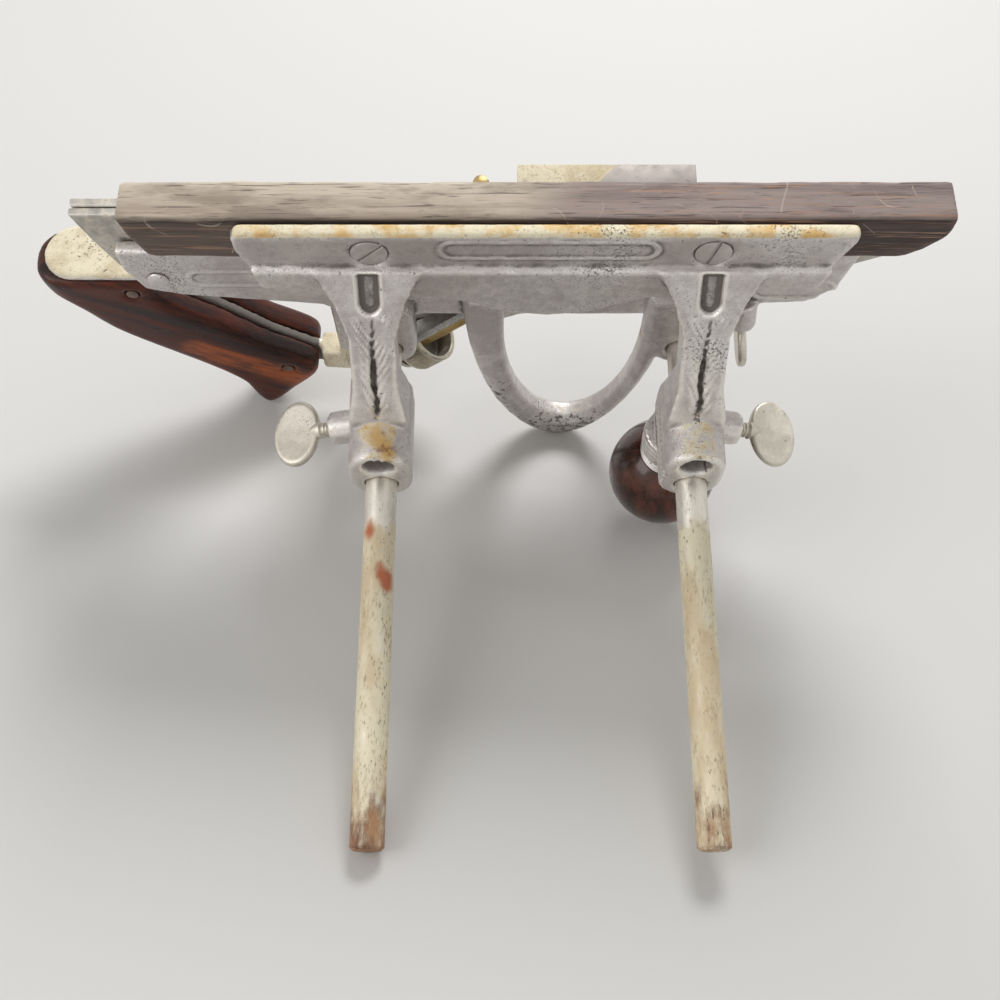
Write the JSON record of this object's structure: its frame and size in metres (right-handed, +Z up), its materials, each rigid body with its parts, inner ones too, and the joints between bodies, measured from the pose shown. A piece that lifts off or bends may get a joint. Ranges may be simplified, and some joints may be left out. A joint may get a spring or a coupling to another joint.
{
  "type": "combination plane",
  "caption": "Old combination plane lying upside down: nickel-plated castings and skates, arched sliding section, wood-faced fence on rods, wooden handle and knob.",
  "frame": {"origin": "centre of the bounding box, on the bench it lies on", "axes": "+X along the plane towards its toe, +Y from the rods' free ends to the main stock, +Z up from the bench; the sole faces up, leaning about 20 degrees towards the fence side"},
  "size_m": [0.2648, 0.201, 0.1381],
  "materials": {
    "nickel": "worn nickel plating, satin, with dark pits and yellow tarnish",
    "steel": "plated steel, satin, rust-specked",
    "rosewood": "worn varnish, semi-gloss",
    "weathered_rosewood": "bare, grey-brown, scratched",
    "brass": "dull, tarnished"
  },
  "bodies": {
    "main": {"rod_rear": "steel", "rod_front": "steel", "main_skate_rear": "steel", "main_skate_front": "steel", "tote_pin_upper": "steel", "tote_pin_lower": "steel", "tote": "rosewood", "feed_screw": "brass", "clamp_bolt": "steel", "rod_set_screw_rear": "steel", "rod_set_screw_front": "steel", "stop_screw": "brass", "spur_screw": "steel", "main_rivet_rear": "nickel", "main_rivet_middle": "nickel", "main_rivet_front": "nickel", "main_stock": "nickel"},
    "slider": {"sliding_section": "nickel", "sliding_skate_rear": "steel", "sliding_skate_front": "steel", "sliding_rivet_rear": "nickel", "sliding_rivet_middle": "nickel", "sliding_rivet_front": "nickel"},
    "fence": {"fence_casting": "nickel", "fence_strip": "weathered_rosewood", "strip_screw_rear": "nickel", "strip_screw_front": "nickel", "knob": "rosewood", "knob_collar": "nickel", "knob_stud": "steel"},
    "fence_thumb_rear": {"fence_thumb_rear": "nickel"},
    "fence_thumb_front": {"fence_thumb_front": "nickel"},
    "slider_thumb_rear": {"slider_thumb_rear": "nickel"},
    "slider_thumb_front": {"slider_thumb_front": "nickel"},
    "blade": {"cutter": "steel", "feed_yoke": "steel"},
    "adjusting_nut": {"adjusting_nut": "nickel"},
    "wing_nut": {"wing_nut": "nickel"},
    "depth_gauge": {"depth_gauge": "nickel"},
    "gauge_thumb": {"gauge_thumb": "nickel"},
    "spur": {"spur": "steel"}
  },
  "joints": [
    {"name": "slider_slide", "type": "slide", "parent": "main", "child": "slider", "axis": [0.0108, -0.9416, -0.3366], "range_m": [0, 0.04]},
    {"name": "fence_slide", "type": "slide", "parent": "slider", "child": "fence", "axis": [0.0108, -0.9416, -0.3366], "range_m": [0, 0.06]},
    {"name": "fence_thumb_rear_turn", "type": "hinge", "parent": "fence", "child": "fence_thumb_rear", "pos_m": [-0.02233, 0.02334, 0.04762], "axis": [-0.9299, 0.1143, -0.3495], "range_deg": [0, 720]},
    {"name": "fence_thumb_front_turn", "type": "hinge", "parent": "fence", "child": "fence_thumb_front", "pos_m": [0.07148, 0.02233, 0.05347], "axis": [0.9684, 0.0937, -0.2312], "range_deg": [0, 720]},
    {"name": "slider_thumb_rear_turn", "type": "hinge", "parent": "slider", "child": "slider_thumb_rear", "pos_m": [-0.02262, 0.04914, 0.05684], "axis": [0.0622, 0.3366, -0.9396], "range_deg": [0, 720]},
    {"name": "slider_thumb_front_turn", "type": "hinge", "parent": "slider", "child": "slider_thumb_front", "pos_m": [0.08712, 0.04642, 0.08016], "axis": [0.2005, 0.3318, -0.9218], "range_deg": [0, 720]},
    {"name": "blade_feed", "type": "slide", "parent": "main", "child": "blade", "axis": [0.6617, -0.2456, 0.7084], "range_m": [-0.0027, 0.0027]},
    {"name": "adjusting_nut_turn", "type": "hinge", "parent": "blade", "child": "adjusting_nut", "pos_m": [-0.00804, 0.0762, 0.03983], "axis": [0.6617, -0.2456, 0.7084], "range_deg": [-1080, 1080]},
    {"name": "wing_nut_turn", "type": "hinge", "parent": "main", "child": "wing_nut", "pos_m": [0.03167, 0.05802, 0.09555], "axis": [-0.0108, 0.9416, 0.3366], "range_deg": [-720, 720]},
    {"name": "depth_gauge_slide", "type": "slide", "parent": "main", "child": "depth_gauge", "axis": [-0.0622, -0.3366, 0.9396], "range_m": [-0.0115, 0.007]},
    {"name": "gauge_thumb_turn", "type": "hinge", "parent": "main", "child": "gauge_thumb", "pos_m": [0.05275, 0.06706, 0.08847], "axis": [-0.0108, 0.9416, 0.3366], "range_deg": [0, 720]},
    {"name": "spur_turn", "type": "hinge", "parent": "main", "child": "spur", "pos_m": [0.08102, 0.05175, 0.11466], "axis": [-0.0108, 0.9416, 0.3366], "continuous": true}
  ],
  "couplings": [
    {"joint": "adjusting_nut_turn", "follows": "blade_feed", "rad_per_m": 6981.3}
  ]
}
